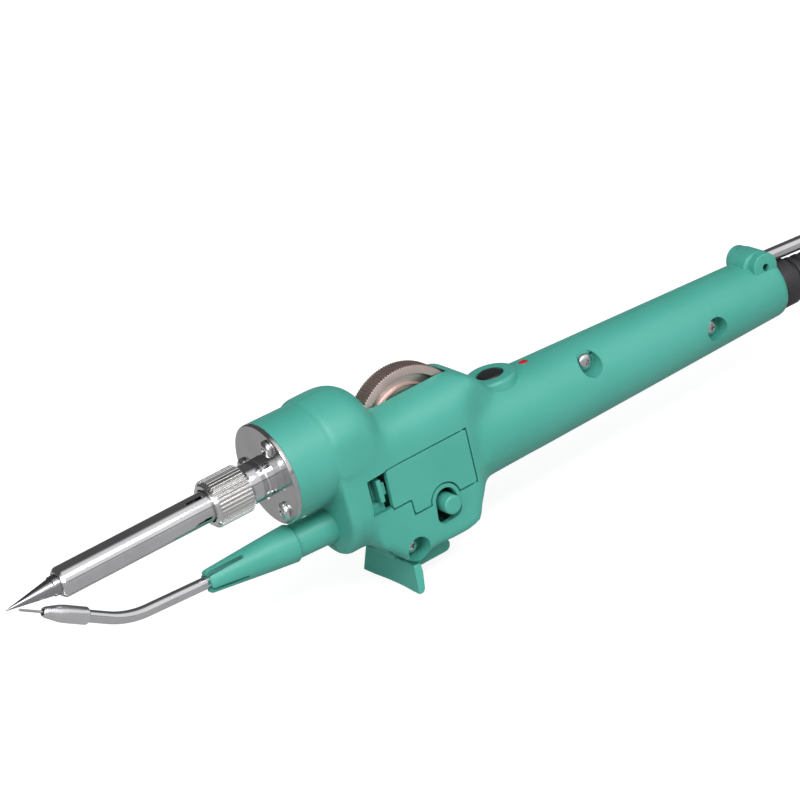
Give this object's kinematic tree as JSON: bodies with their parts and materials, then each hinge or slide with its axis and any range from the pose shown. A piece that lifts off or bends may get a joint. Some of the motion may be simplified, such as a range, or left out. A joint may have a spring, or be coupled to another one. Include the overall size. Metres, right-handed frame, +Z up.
{
  "type": "soldering iron with wire feeder",
  "caption": "Pistol-trigger soldering iron with a pencil grip, steel heater barrel, thumb wheel wire feed, side door and bent feed tube beside the bit.",
  "frame": {"origin": "on the heater axis, where the barrel sleeve leaves the front of its nut", "axes": "+X runs back along the heater axis toward the handle, +Z points up through the thumb wheel, and the side with the door faces -Y"},
  "size_m": [0.3253, 0.0351, 0.0709],
  "materials": {
    "green_plastic": "matt",
    "polished_steel": "polished",
    "satin_steel": "satin",
    "bit_plating": "satin",
    "ceramic": "matt",
    "mica": "matt",
    "wheel_metal": "satin",
    "brass": "satin",
    "white_plastic": "satin",
    "board_green": "satin",
    "black_plastic": "gloss",
    "black_rubber": "matt",
    "red_lens": "gloss",
    "solder": "satin"
  },
  "bodies": {
    "iron": {"housing_right": "green_plastic", "housing_left": "green_plastic", "front_plate": "polished_steel", "plate_screws": "polished_steel", "heater_ferrule": "polished_steel", "barrel_sleeve": "polished_steel", "soldering_bit": "bit_plating", "heater_core": "ceramic", "heater_holder": "mica", "tension_pin": "satin_steel", "tension_spring": "satin_steel", "trigger_spring": "satin_steel", "rear_guide": "brass", "front_guide": "brass", "solder_liner": "white_plastic", "inlet_tube": "polished_steel", "control_board": "board_green", "tact_switch": "black_plastic", "status_lamp": "red_lens", "housing_screws": "satin_steel", "outlet_bush": "green_plastic", "solder_wire": "solder", "cord_boot": "black_rubber"},
    "wheel": {"thumb_wheel": "wheel_metal", "wheel_axle": "satin_steel", "ratchet_gear": "satin_steel"},
    "arm": {"tension_arm": "green_plastic", "tension_knob": "green_plastic"},
    "idler": {"idler_roller": "satin_steel"},
    "trigger": {"trigger": "green_plastic"},
    "pawl": {"drive_pawl": "satin_steel"},
    "door": {"feed_door": "green_plastic"},
    "latch": {"door_latch": "green_plastic"},
    "button": {"button_cap": "black_plastic"},
    "nut": {"barrel_nut": "satin_steel"},
    "collet": {"collet_nut": "green_plastic"},
    "feed_pipe": {"feed_tube": "polished_steel", "nozzle": "satin_steel", "solder_tip": "solder"}
  },
  "joints": [
    {"name": "wheel_spin", "type": "hinge", "parent": "iron", "child": "wheel", "pos_m": [0.0726, 0, -0.00665], "axis": [0, 1, 0], "continuous": true},
    {"name": "idler_spin", "type": "hinge", "parent": "arm", "child": "idler", "pos_m": [0.0718, 0, -0.03005], "axis": [0, 1, 0], "continuous": true},
    {"name": "arm_press", "type": "hinge", "parent": "iron", "child": "arm", "pos_m": [0.0615, -0.00475, -0.0305], "axis": [0, 1, 0], "range_deg": [0, 8], "stiffness_Nm_per_rad": 0.3, "springref_deg": -5.73, "deforming": ["tension_spring"]},
    {"name": "trigger_pull", "type": "hinge", "parent": "iron", "child": "trigger", "pos_m": [0.0578, 0, -0.0393], "axis": [0, -1, 0], "range_deg": [0, 10], "stiffness_Nm_per_rad": 0.3, "springref_deg": -8.59},
    {"name": "pawl_lift", "type": "hinge", "parent": "trigger", "child": "pawl", "pos_m": [0.0744, 0.0049, -0.0199], "axis": [0, -1, 0], "range_deg": [0, 15], "stiffness_Nm_per_rad": 0.002, "springref_deg": -11.46},
    {"name": "door_open", "type": "hinge", "parent": "iron", "child": "door", "pos_m": [0.0826, -0.0146, -0.019], "axis": [0, 0, 1], "range_deg": [0, 100]},
    {"name": "latch_slide", "type": "slide", "parent": "iron", "child": "latch", "axis": [-1, 0, 0], "range_m": [0, 0.0015], "stiffness_N_per_m": 300, "springref_m": -0.0005},
    {"name": "button_press", "type": "slide", "parent": "iron", "child": "button", "axis": [0, 0, -1], "range_m": [0, 0.0005], "stiffness_N_per_m": 500, "springref_m": -0.0005},
    {"name": "nut_turn", "type": "hinge", "parent": "iron", "child": "nut", "pos_m": [0.007, 0, 0], "axis": [-1, 0, 0], "continuous": true},
    {"name": "collet_turn", "type": "hinge", "parent": "iron", "child": "collet", "pos_m": [0.01268, 0, -0.02376], "axis": [-0.9986, 0, 0.0523], "continuous": true},
    {"name": "pipe_swivel", "type": "hinge", "parent": "iron", "child": "feed_pipe", "pos_m": [0.01268, 0, -0.02376], "axis": [-0.9986, 0, 0.0523], "range_deg": [-30, 30]}
  ],
  "couplings": [
    {"joint": "idler_spin", "follows": "wheel_spin", "ratio": -7.84}
  ]
}
